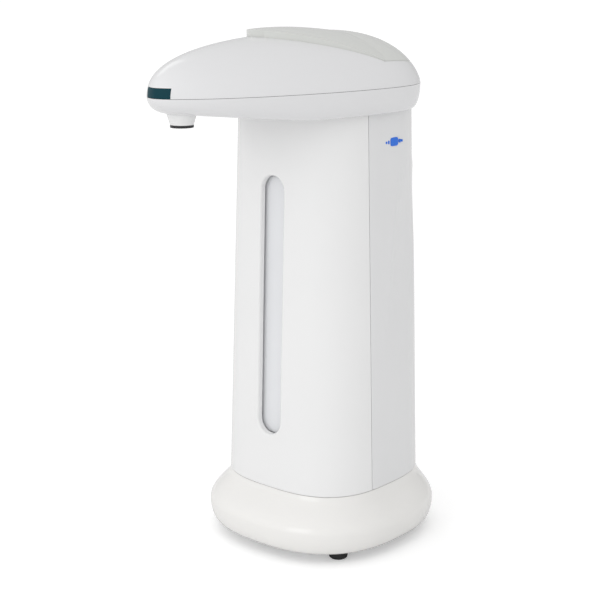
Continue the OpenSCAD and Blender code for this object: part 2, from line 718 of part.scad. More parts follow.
// ---- tank ----
tank_gap = 1;
tank_top_z = head_floor_z - 4;
neck_r = filler_d / 2 + tank_wall;
neck_top_z = deck_top_z - tray_t - 1;
neck_y = -6;
function tank_ring(z, inset) = plan(
    column_half(z) - shell_wall - tank_gap - inset,
    column_fore(z) - shell_wall - tank_gap - inset,
    tank_back - inset,
    column_power,
    z
);
function neck_ring(r, z) = [for (i = [0 : ring_points - 1])
    let (a = 360 * i / ring_points) [r * cos(a), neck_y + r * sin(a), z]];
port_x = chamber_x + 3;
port_y = mesh_y;
nipple_r = 2;
module soap_tank() {
    t = tank_wall;
    color(clear_lilac) on_axis() difference() {
        union() {
            skin(reversed([
                tank_ring(tank_bottom_z, 2), tank_ring(tank_bottom_z + 0.7, 0.7), tank_ring(tank_bottom_z + 2, 0),
                tank_ring(tank_top_z - 3, 0), tank_ring(tank_top_z - 0.9, 0.9), tank_ring(tank_top_z, 3),
                neck_ring(neck_r, tank_top_z + 1), neck_ring(neck_r, neck_top_z),
                neck_ring(neck_r - t, neck_top_z), neck_ring(neck_r - t, tank_top_z - t + 1),
                tank_ring(tank_top_z - t, 3 + t), tank_ring(tank_top_z - 3, t),
                tank_ring(tank_bottom_z + 2 + t, t), tank_ring(tank_bottom_z + t, t + 2)
            ]));
            translate([port_x, port_y, tank_bottom_z - 1.2]) cylinder(r = nipple_r, h = 2);
        }
        translate([port_x, port_y, tank_bottom_z - 3]) cylinder(r = 1, h = 6);
    }
}
module filler_gasket() {
    color(silicone) on_axis() translate([0, neck_y, neck_top_z + 0.02])
        ring(neck_r, filler_d / 2, deck_top_z - tray_t - neck_top_z - 0.04);
}

// ---- hoses and wires ----
hose_d = 3.6;
wire_d = 2;
riser_x = 14;
riser_y = 23.5;
head_run_z = head_floor_z + 5;
head_run_x = 25.5;
module suction_sleeve() {
    top_of_pump = pump_block_z + block_h;
    color(silicone) on_axis() translate([port_x, port_y, top_of_pump + 0.03])
        ring(3, nipple_r + 0.05, tank_bottom_z - top_of_pump - 0.06);
}
// Route of a line through the head, on the side given by its sign
nose_run_z = head_seam_z - 1.4;
function head_run(side) = [
    [side * riser_x, riser_y, head_run_z],
    [side * head_run_x, 10, head_run_z],
    [side * head_run_x, -16, head_run_z],
    [side * 14, -46, head_run_z]
];
module outlet_tube() {
    start_x = pump_end_x + 0.1;
    low_z = shaft_z - 3;
    path = smooth_path(concat(
        [
            [start_x, mesh_y, low_z],
            [start_x + 5, mesh_y, low_z],
            [start_x + 5, 7, low_z],
            [19, 20, low_z],
            [riser_x, riser_y, low_z + 9]
        ],
        head_run(1),
        [[0, nozzle_y, nose_run_z], [0, nozzle_y, head_floor_z + 1.6]]
    ), 6);
    color(silicone) on_axis() tube(path, hose_d);
}
module sensor_wires() {
    path = smooth_path(concat(
        [[-7, board_y + board_t + 2, board_high_z + 2], [-riser_x, riser_y, board_high_z + 14]],
        head_run(-1),
        [[-3, nozzle_y - 2.5, nose_run_z + 0.6]]
    ), 6);
    color(dark) on_axis() tube(path, wire_d, 6);
}
module power_wires() {
    run_z = well_roof_z + well_wall + 1.6;
    path = smooth_path([
        [12, 6, well_roof_z + well_wall + 0.2],
        [12, 6, run_z],
        [0, 24, run_z],
        [0, 24, deck_z + 8],
        [0, board_y + board_t + 2, board_low_z - 2]
    ], 3, 4);
    color([0.7, 0.1, 0.1]) on_axis() tube(path, wire_d, 6);
}

// ---- head ----
head_half = head_w / 2;
head_front = nose_reach + head_axis_y;
head_aft = head_back - head_axis_y;
// The lower shell draws in towards its floor, and the floor rises ahead of the column towards the nose
floor_in = 3.4;
floor_rise = 3.6;
rise_from_y = -36;
function floor_lift(y) = floor_rise * max(0, min(1, (rise_from_y - y) / (nose_reach + rise_from_y - 8)));
function lower_ring(t, inset) =
    let (pull = floor_in * (1 - sqrt(1 - pow(1 - t, 2) * 0.98)))
    [for (p = head_plan(head_half - pull - inset, head_front - 2.4 * pull - inset, head_aft - 0.5 * pull - inset, 0))
        [p[0], p[1], blend(head_floor_z + floor_lift(p[1]), head_seam_z - cover_gap / 2, t)]];
// The dome: its width, its beak and its back each close at their own rate
beak_close = 2.6;
back_close = 2.4;
function dome_wide(h) = pow(1 - pow(h, 1.35), 1 / 2.1);
function dome_beak(h) = pow(1 - pow(h, beak_close), 1 / beak_close);
function dome_back(h) = pow(1 - pow(h, back_close), 1 / back_close);
dome_low_z = head_seam_z + cover_gap / 2;
lid_tip_y = -38;
// Share of the dome's height at the lid's tip sets the dome's top, so that the tip ends at total_h
tip_share = pow(1 - pow((head_axis_y - lid_tip_y) / head_front, beak_close), 1 / beak_close);
dome_top_z = dome_low_z + (total_h - lid_step - dome_low_z) / tip_share;
function dome_ring(h, inset) = head_plan(
    max(0.3, (head_half - inset) * dome_wide(h)),
    max(0.3, (head_front - inset) * dome_beak(h)),
    max(0.3, (head_aft - inset) * dome_back(h)),
    blend(dome_low_z, dome_top_z - inset, h)
);
dome_levels = [0, 0.08, 0.2, 0.34, 0.48, 0.62, 0.75, 0.86, 0.94, 0.985, 0.999];
// The lid's outside stands proud of the dome at its tip and comes level with it towards the hinge
lid_level_y = 2;
function lid_raise(y) =
    let (t = max(0, min(1, (lid_level_y - y) / (lid_level_y - lid_tip_y)))) lid_step * t * (2 - t);
function raised(ring, on) = on ? [for (p = ring) p + [0, 0, lid_raise(p[1])]] : ring;
module dome_shell(wall, on_lid = false) {
    skin(concat(
        [for (h = reversed(dome_levels)) raised(dome_ring(h, 0), on_lid)],
        [for (h = dome_levels) dome_ring(h, wall)]
    ));
}

nozzle_y = -nozzle_reach;
nozzle_tip_z = head_floor_z - 1;
nozzle_floor_z = head_floor_z + floor_lift(nozzle_y);
window_z0 = dome_low_z;
window_h = 3.2;
window_depth = 7.8;
bolt_spots = [[15, 15], [-15, 15], [19.5, -16.5], [-19.5, -16.5]];
module at_bolts() {
    for (p = bolt_spots) translate([p[0], p[1], 0]) children();
}
module head_lower_shell() {
    levels = [0, 0.12, 0.35, 0.65, 1];
    color(white) on_axis() difference() {
        skin(reversed(concat(
            [for (t = levels) lower_ring(t, 0)],
            [for (t = reversed(levels)) if (t > 0.3) lower_ring(t, head_wall)],
            [[for (p = lower_ring(0.3, head_wall)) [p[0], p[1], head_floor_z + head_wall + floor_lift(p[1])]]]
        )), mirrored = true);
        translate([0, neck_y, head_floor_z - 1]) cylinder(r = neck_r + 0.4, h = 5);
        translate([0, nozzle_y, head_floor_z - 1]) cylinder(r = nozzle_neck_r + 0.05, h = 9);
        for (s = [-1, 1]) translate([s * riser_x, riser_y, head_floor_z - 1]) cylinder(r = hose_d / 2 + 1, h = 5);
        at_bolts() translate([0, 0, head_floor_z - 1]) cylinder(r = 1.2, h = 5);
    }
}

// Lid outline: a pointed tip in front, widest at the corners, then round the back
lid_corner_x = 27.4;
lid_back_y = 31;
tray_back_y = 26.5;
lid_low_z = dome_low_z + 5.4;
lid_edge_points = 12;
lid_tip_power = 0.7;
lid_back_power = 2.6;
function lid_outline(grow, back_y) = let (
    front = [for (i = [0 : lid_edge_points])
        let (t = i / lid_edge_points)
        [lid_corner_x * pow(t, lid_tip_power), blend(lid_tip_y, 0, t)]],
    back = [for (i = [1 : lid_edge_points])
        let (a = 90 * i / lid_edge_points)
        [lid_corner_x * signed_power(cos(a), 2 / lid_back_power), back_y * signed_power(sin(a), 2 / lid_back_power)]],
    right = concat(front, back),
    mid = [0, -4]
) [
    for (p = concat(right, [for (i = [len(right) - 2 : -1 : 1]) [-right[i][0], right[i][1]]]))
        let (d = p - mid) p + d / norm(d) * grow
];
module lid_prism(grow, low, high, back_y = lid_back_y) {
    translate([0, 0, low]) linear_extrude(high - low) polygon(lid_outline(grow, back_y));
}
// The hinge pin lies just under the lid's surface, near its back edge
lid_pin_r = 1;
lid_knuckle_r = 1.7;
lid_pin_y = lid_back_y - 3.5;
function rear_share(y, wall) = pow(1 - pow((y - head_axis_y) / (head_aft - wall), back_close), 1 / back_close);
lid_pin_z = blend(dome_low_z, dome_top_z, rear_share(lid_pin_y, 0)) - 2.9;
hinge_w = 22;
// The lid's back edge swings through a slot behind it, as wide as the edge behind the pin
swing_r = 4.8;
swing_w = 36;
module head_upper_shell() {
    color(white) on_axis() difference() {
        dome_shell(head_wall);
        lid_prism(motion_gap, lid_low_z - motion_gap, total_h + 5);
        along_x(-swing_w / 2, lid_pin_y, lid_pin_z) cylinder(r = swing_r, h = swing_w);
        // seat of the sensor window, across the tip of the nose
        translate([-window_w / 2 - 0.1, -nose_reach - 1, window_z0 - 1])
            cube([window_w + 0.2, window_depth + 0.3, window_h + 1.1]);
    }
}
// Tray under the lid: a deck round the filler opening, a low wall, the hinge ears and the screw bosses
tray_front_top = total_h - lid_step - head_wall - 1.5;
tray_low_top = deck_top_z + 0.6;
ear_t = 2.4;
ear_x = 8.2;
module filler_tray() {
    slope = atan2(tray_front_top - tray_low_top, -lid_tip_y);
    color(white) on_axis() difference() {
        union() {
            lid_prism(motion_gap + tray_t, deck_top_z - tray_t, deck_top_z, tray_back_y);
            difference() {
                lid_prism(motion_gap + tray_t, deck_top_z - 0.5, tray_front_top, tray_back_y);
                lid_prism(motion_gap, deck_top_z - 1, total_h, tray_back_y);
                translate([-50, -4, tray_low_top]) rotate([-slope, 0, 0]) translate([0, -80, 0]) cube([100, 160, 60]);
                translate([-50, -6, tray_low_top]) cube([100, 60, 60]);
            }
            for (s = [-1, 1]) {
                translate([s * ear_x - ear_t / 2, lid_pin_y - lid_knuckle_r, deck_top_z - 0.5])
                    cube([ear_t, lid_knuckle_r + 0.2, lid_pin_z - deck_top_z + 0.5]);
                along_x(s * ear_x - ear_t / 2, lid_pin_y, lid_pin_z) cylinder(r = lid_knuckle_r, h = ear_t);
            }
            at_bolts() translate([0, 0, head_floor_z + head_wall + 0.1])
                cylinder(r = 2.6, h = deck_top_z - tray_t / 2 - head_floor_z - head_wall - 0.1);
        }
        along_x(-12, lid_pin_y, lid_pin_z) cylinder(r = lid_pin_r + 0.01, h = 24);
        translate([0, neck_y, deck_top_z - 3]) cylinder(r = filler_d / 2, h = 8);
        at_bolts() translate([0, 0, head_floor_z]) cylinder(r = 0.95, h = 11);
    }
}
module filler_lid() {
    color([0.88, 0.89, 0.86]) on_axis() difference() {
        intersection() {
            dome_shell(lid_t, on_lid = true);
            lid_prism(0, lid_low_z, total_h + 5);
        }
        // channel for the knuckles and ears, open below and behind the pin so the ears stay clear as the lid swings
        along_x(-hinge_w / 2, lid_pin_y, lid_pin_z) cylinder(r = lid_knuckle_r + 0.1, h = hinge_w);
        translate([-hinge_w / 2, lid_pin_y - lid_knuckle_r - 0.1, lid_pin_z - 5]) cube([hinge_w, 12, 5]);
    }
}
// Frame glued under the lid: plug for the filler opening, a bridge plate and two hinge arms
plug_r = filler_d / 2 - 1.6;
bridge_z = lid_pin_z - 1.2;
arm_x = 5.4;
arm_w = 2.6;
glue_r = 3;
glue_bite = 0.3;
glue_back_y = 2;
glue_front_y = -14;
front_share = pow(1 - pow((head_axis_y - glue_front_y) / (head_front - lid_t), beak_close), 1 / beak_close);
glue_back_z = blend(dome_low_z, dome_top_z - lid_t, rear_share(glue_back_y, lid_t)) + glue_bite;
glue_front_z = blend(dome_low_z, dome_top_z - lid_t, front_share) + glue_bite;
module lid_plug() {
    color([0.85, 0.86, 0.84]) on_axis() difference() {
        union() {
            translate([0, neck_y, deck_top_z - 2.4]) ring(plug_r, plug_r - 1.4, bridge_z - deck_top_z + 2.5);
            translate([0, neck_y, bridge_z]) cylinder(r = plug_r + 1, h = 1.4);
            // two bosses glued to the lid's underside
            translate([0, glue_back_y, bridge_z]) cylinder(r = glue_r, h = glue_back_z - bridge_z);
            translate([0, glue_front_y, bridge_z]) cylinder(r = glue_r, h = glue_front_z - bridge_z);
            for (s = [-1, 1]) {
                translate([s * arm_x - arm_w / 2, neck_y, bridge_z]) cube([arm_w, lid_pin_y - neck_y, 1.4]);
                along_x(s * arm_x - arm_w / 2, lid_pin_y, lid_pin_z) cylinder(r = lid_knuckle_r, h = arm_w);
            }
        }
        along_x(-12, lid_pin_y, lid_pin_z) cylinder(r = lid_pin_r + shaft_fit, h = 24);
        translate([0, neck_y, deck_top_z - 1.9]) ring(plug_r + 1, plug_r - 0.6, 1.3);
    }
}
module lid_seal() {
    color(silicone) on_axis() translate([0, neck_y, deck_top_z - 1.85])
        ring(filler_d / 2 - 0.45, plug_r - 0.55, 1.2);
}
module lid_hinge_pin() {
    color(steel) on_axis()
        along_x(-ear_x - ear_t / 2, lid_pin_y, lid_pin_z) cylinder(r = lid_pin_r, h = 2 * ear_x + ear_t);
}
module head_screws() {
    color(steel) on_axis() at_bolts() translate([0, 0, head_floor_z - 0.02]) screw(2, 0.85, 9, 1.4);
}

// ---- nozzle and sensor ----
nozzle_neck_r = nozzle_d / 2 + 1;
module nozzle_housing() {
    tip_r = nozzle_d / 2;
    bore_r = hose_d / 2 + 0.15;
    low = nozzle_tip_z + 0.9;
    high = nozzle_floor_z + head_wall - 0.4;
    color(white) on_axis() translate([0, nozzle_y, 0]) rotate_extrude() polygon([
        [bore_r, low], [tip_r, low], [nozzle_neck_r, nozzle_floor_z], [nozzle_neck_r, high], [bore_r, high]
    ]);
}
module nozzle_tip() {
    color(dark) on_axis() translate([0, nozzle_y, nozzle_tip_z]) ring(nozzle_d / 2, 1.6, 0.88);
}
module nozzle_valve() {
    color(silicone) on_axis() translate([0, nozzle_y, nozzle_tip_z + 0.9]) ring(hose_d / 2 + 0.1, 0.6, 1.4);
}
module sensor_window() {
    band = [0, 0.08, 0.2, 0.34];
    color(teal) on_axis() intersection() {
        skin(concat(
            [for (h = band) dome_ring(h, 0.05)],
            [for (h = reversed(band)) dome_ring(h, head_wall)]
        ), loop = true);
        translate([-window_w / 2, -nose_reach - 1, window_z0 + 0.05]) cube([window_w, window_depth, window_h]);
    }
}
sensor_board_y = -nose_reach + 6.6;
module sensor_board() {
    color(board_green) on_axis() translate([-6, sensor_board_y, head_seam_z - 1.5]) cube([12, 1, 6.5]);
}
module infrared_pair() {
    color(dark) on_axis() for (s = [-1, 1])
        translate([s * 3.6, sensor_board_y - 0.02, window_z0 + 1.6]) rotate([90, 0, 0]) cylinder(r = 1.5, h = 2.4);
}
module status_light() {
    color([0.3, 0.6, 1]) on_axis()
        translate([0, sensor_board_y - 0.02, window_z0 + 1.6]) rotate([90, 0, 0]) cylinder(r = 0.8, h = 2);
}

base_skirt();
base_plate();
battery_door();
battery_cells();
battery_contacts();
rubber_feet();
base_screws();
chassis_deck();
front_shell();
rear_shell();
rear_screws();
side_badge();
power_button();
power_switch();
control_board();
board_components();
soap_tank();
filler_gasket();
suction_sleeve();
pump_body();
pump_cover();
pump_screws();
shaft_seal();
pump_drive_gear();
pump_idler_gear();
idler_pin();
drive_shaft();
reduction_gear();
gear_bracket();
motor_can();
motor_end_cap();
motor_shaft();
motor_pinion();
outlet_tube();
nozzle_tip();
nozzle_valve();
nozzle_housing();
head_lower_shell();
head_upper_shell();
filler_tray();
head_screws();
sensor_window();
sensor_board();
infrared_pair();
status_light();
sensor_wires();
power_wires();
filler_lid();
lid_plug();
lid_seal();
lid_hinge_pin();
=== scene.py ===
import bpy
import bmesh
import json
import math
import numpy as np
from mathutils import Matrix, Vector


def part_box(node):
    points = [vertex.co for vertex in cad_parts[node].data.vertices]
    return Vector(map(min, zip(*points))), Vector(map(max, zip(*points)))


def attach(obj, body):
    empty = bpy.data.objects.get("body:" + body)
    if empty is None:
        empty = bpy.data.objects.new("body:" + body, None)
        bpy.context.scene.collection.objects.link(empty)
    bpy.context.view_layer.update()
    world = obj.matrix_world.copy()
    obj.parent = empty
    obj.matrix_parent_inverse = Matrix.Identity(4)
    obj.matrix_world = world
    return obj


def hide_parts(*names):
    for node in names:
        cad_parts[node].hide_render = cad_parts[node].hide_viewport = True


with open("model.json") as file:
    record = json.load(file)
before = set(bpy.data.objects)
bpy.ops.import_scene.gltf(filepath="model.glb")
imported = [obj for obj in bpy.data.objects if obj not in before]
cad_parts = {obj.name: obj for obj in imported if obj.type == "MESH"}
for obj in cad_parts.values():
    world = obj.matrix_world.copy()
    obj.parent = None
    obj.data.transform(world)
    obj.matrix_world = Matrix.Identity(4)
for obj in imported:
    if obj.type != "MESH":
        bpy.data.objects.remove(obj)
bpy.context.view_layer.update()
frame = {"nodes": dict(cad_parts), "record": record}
REC = frame["record"]
MM = 0.001


# ---------- sizes read back from the CAD ----------
def mm_box(node):
    lo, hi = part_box(node)
    return [v / MM for v in lo], [v / MM for v in hi]


skirt_lo, skirt_hi = mm_box("base_skirt")
AXIS_Y = (skirt_lo[1] + skirt_hi[1]) / 2
BASE_HALF = (skirt_hi[0] - skirt_lo[0]) / 2
BASE_DEEP = (skirt_hi[1] - skirt_lo[1]) / 2
RIM_Z, SEAM_Z = skirt_lo[2], skirt_hi[2]
front_lo, front_hi = mm_box("front_shell")
COL_LOW, COL_TOP = front_lo[2], front_hi[2]
head_lo, head_hi = mm_box("head_lower_shell")
dome_lo, dome_hi = mm_box("head_upper_shell")
HEAD_FLOOR = head_lo[2]
HEAD_SEAM = dome_lo[2]
NOSE = -(head_lo[1] - AXIS_Y)
HEAD_HALF = (dome_hi[0] - dome_lo[0]) / 2

# ---------- the same rules of form as the CAD, in millimetres about the column's axis ----------
COL_POWER, BASE_POWER = 2.8, 2.5
HALF_LOW, HALF_TOP = 32.2, 28.5
FORE_LOW, FORE_TOP = 31.0, 27.0
AFT_LOW, AFT_TOP = 34.0, 31.5
WALL = 2.2
SEAM_Y = -9.0
GAP = 0.25
SLOT_R, SLOT_LOW, SLOT_HIGH = 5.25, 44.0, 139.0
SLOT_ROUND = 0.9
TOTAL_H = 190
STEP_Z, STEP_RUN, STEP_IN = 139.0, 7.0, 1.4
GRIP_LOW, GRIP_TALL, GRIP_DEEP = 68.0, 79.0, 2.0
GRIP_LOW_Y, GRIP_HIGH_Y, GRIP_HALF = 12.0, 21.0, 11
BUTTON_HOLE_R = 5.35
SCREW_HOLE_R, SCREW_HEAD_R, SCREW_SEAT_Y = 1.4, 2.5, 31.6
SCREW_EDGE = 2.2
INSIDE_Y, OUTSIDE_Y = 20, 60


def mix(a, b, t):
    return a + (b - a) * t


def col_t(z):
    return (z - SEAM_Z) / (COL_TOP - SEAM_Z)


def col_half(z):
    return mix(HALF_LOW, HALF_TOP, col_t(z))


def col_fore(z):
    return mix(FORE_LOW, FORE_TOP, col_t(z))


def col_aft(z):
    t = np.clip((z - STEP_Z) / STEP_RUN, 0, 1)
    return mix(AFT_LOW, AFT_TOP, col_t(z)) - t * t * (3 - 2 * t) * STEP_IN


def hump(v):
    v = np.clip(np.abs(v), 0, 1)
    return np.cos(v * math.pi / 2) ** 1.3


def grip(y, z):
    """Depth of the finger scoop that runs up each side of the rear shell and leans back."""
    high = np.clip((z - GRIP_LOW) / GRIP_TALL, 0, 1)
    middle = mix(GRIP_LOW_Y, GRIP_HIGH_Y, high * high)
    return GRIP_DEEP * hump((y - middle) / GRIP_HALF) * hump(2 * high ** 1.4 - 1)


def spow(v, e):
    return np.sign(v) * np.abs(v) ** e


def slot_gap(x, z):
    """Distance outside the edge of the level window's slot."""
    zc = np.clip(z, SLOT_LOW + SLOT_R, SLOT_HIGH - SLOT_R)
    return np.hypot(x, z - zc) - SLOT_R


def rounded_edge(d, r):
    d = np.clip(d, 0, r)
    return r - np.sqrt(np.maximum(r * r - (r - d) ** 2, 0))


def link(mesh_name, verts, faces):
    """Makes a smooth mesh object from points in millimetres about the column's axis."""
    me = bpy.data.meshes.new(mesh_name)
    v = (np.asarray(verts, dtype=float) + np.array([0, AXIS_Y, 0])) * MM
    me.from_pydata([tuple(p) for p in v], [], [tuple(f) for f in faces])
    me.validate(clean_customdata=False)
    me.update()
    ob = bpy.data.objects.new(mesh_name, me)
    bpy.context.scene.collection.objects.link(ob)
    bm = bmesh.new()
    bm.from_mesh(me)
    bmesh.ops.recalc_face_normals(bm, faces=bm.faces)
    bm.to_mesh(me)
    bm.free()
    me.polygons.foreach_set("use_smooth", [True] * len(me.polygons))
    return ob


def loft(name, rings, loop=False, caps=True):
    """A skin over rings of equal length. With loop, the last ring joins the first."""
    rings = [np.asarray(r, dtype=float) for r in rings]
    m, n = len(rings), len(rings[0])
    verts = np.concatenate(rings)
    faces = []
    steps = m if loop else m - 1
    for j in range(steps):
        u = (j + 1) % m
        for i in range(n):
            k = (i + 1) % n
            faces.append((j * n + i, j * n + k, u * n + k, u * n + i))
    if caps and not loop:
        faces.append(tuple(range(n))[::-1])
        faces.append(tuple((m - 1) * n + i for i in range(n)))
    return link(name, verts, faces)


def boolean(ob, cutter, op="DIFFERENCE"):
    mod = ob.modifiers.new("cut", "BOOLEAN")
    mod.operation = op
    mod.solver = "EXACT"
    mod.object = cutter
    dg = bpy.context.evaluated_depsgraph_get()
    me = bpy.data.meshes.new_from_object(ob.evaluated_get(dg))
    ob.modifiers.clear()
    old = ob.data
    ob.data = me
    bpy.data.meshes.remove(old)
    bpy.data.objects.remove(cutter)


def shape_normals(ob, implicit, limit=0.6):
    """Shades a smooth outer surface by the gradient of its own rule, and leaves cut walls flat."""
    me = ob.data
    me.polygons.foreach_set("use_smooth", [True] * len(me.polygons))
    co = np.empty(len(me.vertices) * 3)
    me.vertices.foreach_get("co", co)
    p = co.reshape(-1, 3) / MM - np.array([0, AXIS_Y, 0])
    e = 0.02
    g = np.stack([implicit(p + np.eye(3)[k] * e) - implicit(p - np.eye(3)[k] * e) for k in range(3)], axis=1)
    g /= np.maximum(np.linalg.norm(g, axis=1, keepdims=True), 1e-9)
    normals = []
    for poly in me.polygons:
        fn = np.array(poly.normal)
        for vi in poly.vertices:
            d = float(g[vi] @ fn)
            if d > limit:
                normals.append(g[vi])
            elif d < -limit:
                normals.append(-g[vi])
            else:
                normals.append(fn)
    me.normals_split_custom_set([tuple(n) for n in normals])


def close_ends(ob):
    """Fills the open top and bottom of a shell that was lofted without caps."""
    bm = bmesh.new()
    bm.from_mesh(ob.data)
    bmesh.ops.holes_fill(bm, edges=[e for e in bm.edges if e.is_boundary])
    bm.to_mesh(ob.data)
    bm.free()


def prism(name, outline, low, high):
    """A straight prism over an outline of (x, y) points."""
    lower = [(x, y, low) for x, y in outline]
    upper = [(x, y, high) for x, y in outline]
    return loft(name, [lower, upper])


def crease(ob, angle=35):
    ob.data.polygons.foreach_set("use_smooth", [True] * len(ob.data.polygons))
    ob.data.set_sharp_from_angle(angle=math.radians(angle))


# ---------- column shells ----------
def front_implicit(p):
    x, y, z = p[:, 0], p[:, 1], p[:, 2]
    dent = rounded_edge(slot_gap(x, z), SLOT_ROUND)
    return (np.abs(x) / col_half(z)) ** COL_POWER + ((np.abs(y) + dent * (y < 0)) / col_fore(z)) ** COL_POWER


def rear_implicit(p):
    x, y, z = p[:, 0], p[:, 1], p[:, 2]
    depth = np.where(y < 0, col_fore(z), col_aft(z))
    return ((np.abs(x) + grip(y, z)) / col_half(z)) ** COL_POWER + (np.abs(y) / depth) ** COL_POWER


def row_levels(fine_spans, step=2.4, fine=0.35):
    z, out = COL_LOW, [COL_LOW]
    while z < COL_TOP:
        z += fine if any(a <= z < b for a, b in fine_spans) else step
        out.append(min(z, COL_TOP))
    return out


def front_ring(z, inset):
    half, fore = col_half(z) - inset, col_fore(z) - inset
    near = np.arange(0, 8.01, 0.35)
    yn = fore * (1 - (near / half) ** COL_POWER) ** (1 / COL_POWER)
    a0 = math.asin(min(1, (yn[-1] / fore) ** (COL_POWER / 2)))
    a1 = math.asin((-SEAM_Y / fore) ** (COL_POWER / 2))
    a = np.linspace(a0, a1, 46)[1:]
    x = np.concatenate([near, half * np.cos(a) ** (2 / COL_POWER)])
    y = np.concatenate([yn, fore * np.sin(a) ** (2 / COL_POWER)])
    if inset == 0:
        y = y - rounded_edge(slot_gap(x, z), SLOT_ROUND)
    right = np.stack([x, -y, np.full(len(x), z)], axis=1)
    left = right[1:][::-1] * np.array([-1, 1, 1])
    return np.concatenate([left, right])


def u_loop(outer, inner):
    return np.concatenate([outer, inner[::-1]])


zs = row_levels([(42, 51), (132, 141)])
front = loft("front_shell_skin", [u_loop(front_ring(z, 0), front_ring(z, WALL)) for z in zs], caps=False)
a = np.linspace(0, math.pi, 40)
cap = [(SLOT_R * math.cos(t), SLOT_HIGH - SLOT_R + SLOT_R * math.sin(t)) for t in a]
cap += [(-SLOT_R * math.cos(t), SLOT_LOW + SLOT_R - SLOT_R * math.sin(t)) for t in a]
cutter = loft("slot_cutter", [[(x, y, z) for x, z in cap] for y in (-60, -10)])
close_ends(front)
boolean(front, cutter)
shape_normals(front, front_implicit)
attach(front, "housing")
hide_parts("front_shell")


def rear_ring(z, inset):
    half, aft, fore = col_half(z) - inset, col_aft(z) - inset, col_fore(z) - inset
    seam = SEAM_Y + GAP
    y_side = np.linspace(seam, 0, 8)[:-1]
    x_side = half * (1 - (np.abs(y_side) / fore) ** COL_POWER) ** (1 / COL_POWER)
    a = np.linspace(0, math.pi / 2, 120)
    x = np.concatenate([x_side, half * np.cos(a) ** (2 / COL_POWER)])
    y = np.concatenate([y_side, aft * np.sin(a) ** (2 / COL_POWER)])
    x[-1] = 0
    x = np.maximum(x - grip(y, z) * (x > 1), 0)
    right = np.stack([x, y, np.full(len(x), z)], axis=1)
    left = right[:-1][::-1] * np.array([-1, 1, 1])
    return np.concatenate([right, left])


def round_cutter(name, steps, x, z):
    """A solid of circles (radius, y) along +Y, closed at both ends, to cut a round hole with."""
    turn = np.linspace(0, 2 * math.pi, 64, endpoint=False)
    circle_x, circle_z = np.cos(turn), np.sin(turn)
    return loft(name, [np.stack([x + r * circle_x, np.full(64, float(y)), z + r * circle_z], axis=1)
                       for r, y in steps])


rear = loft("rear_shell_skin", [u_loop(rear_ring(z, 0), rear_ring(z, WALL))
                                for z in np.linspace(COL_LOW, COL_TOP, 110)], caps=False)
close_ends(rear)
b_lo, b_hi = mm_box("power_button")
BUTTON_Z = (b_lo[2] + b_hi[2]) / 2
steps = [(BUTTON_HOLE_R, INSIDE_Y), (BUTTON_HOLE_R, OUTSIDE_Y)]
boolean(rear, round_cutter("button_cutter", steps, 0, BUTTON_Z))
s_lo, s_hi = mm_box("rear_screws")
SCREW_Z = (s_lo[2] + s_hi[2]) / 2
for side in (-1, 1):
    sx = side * (s_hi[0] - SCREW_EDGE)
    steps = [(SCREW_HOLE_R, INSIDE_Y), (SCREW_HOLE_R, SCREW_SEAT_Y), (SCREW_HEAD_R, SCREW_SEAT_Y + 1),
             (SCREW_HEAD_R, OUTSIDE_Y)]
    boolean(rear, round_cutter("screw_cutter", steps, sx, SCREW_Z))
shape_normals(rear, rear_implicit)
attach(rear, "housing")
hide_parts("rear_shell")


# ---------- base skirt ----------
def plan_ring(half, fore, aft, power, z, n=192):
    a = np.linspace(0, 2 * math.pi, n, endpoint=False)
    c, s = np.cos(a), np.sin(a)
    depth = np.where(s < 0, fore, aft)
    return np.stack([half * spow(c, 2 / power), depth * spow(s, 2 / power), np.full(n, z)], axis=1)


WIDEST = RIM_Z + 7.5
TUCK = 3.2
SKIRT_WALL = 2.2
LEDGE_IN = 0.86


def skirt_ring(z, inset=0):
    if z >= WIDEST:
        s = (z - WIDEST) / (SEAM_Z - WIDEST)
        grow, tuck = (0.5 + 0.5 * math.cos(math.pi * s)) ** 0.85, 0.0
    else:
        t = 0.96 * (WIDEST - z) / (WIDEST - RIM_Z)
        grow, tuck = 1.0, TUCK * (1 - math.sqrt(1 - t * t))
    half = mix(HALF_LOW, BASE_HALF, grow) - tuck - inset
    fore = mix(FORE_LOW, BASE_DEEP, grow) - tuck - inset
    aft = mix(AFT_LOW, BASE_DEEP, grow) - tuck - inset
    return plan_ring(half, fore, aft, mix(COL_POWER, BASE_POWER, grow), z)


rings = [skirt_ring(z) for z in np.linspace(RIM_Z + 0.35, WIDEST, 12)]
rings += [skirt_ring(z) for z in np.linspace(WIDEST, SEAM_Z - 0.3, 30)[1:]]
top = skirt_ring(SEAM_Z - 0.3)
rings.append(np.concatenate([top[:, :2] * 0.994, np.full((len(top), 1), SEAM_Z)], axis=1))
rings.append(np.concatenate([top[:, :2] * LEDGE_IN, np.full((len(top), 1), SEAM_Z)], axis=1))
rings.append(np.concatenate([top[:, :2] * LEDGE_IN, np.full((len(top), 1), SEAM_Z - 2)], axis=1))
rings += [skirt_ring(z, SKIRT_WALL) for z in np.linspace(SEAM_Z - 3.6, RIM_Z + 0.3, 10)]
rings.append(skirt_ring(RIM_Z, 1.7))
rings.append(skirt_ring(RIM_Z, 0.5))
skirt = loft("base_skirt_skin", rings, loop=True, caps=False)
crease(skirt, 40)
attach(skirt, "housing")
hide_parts("base_skirt")

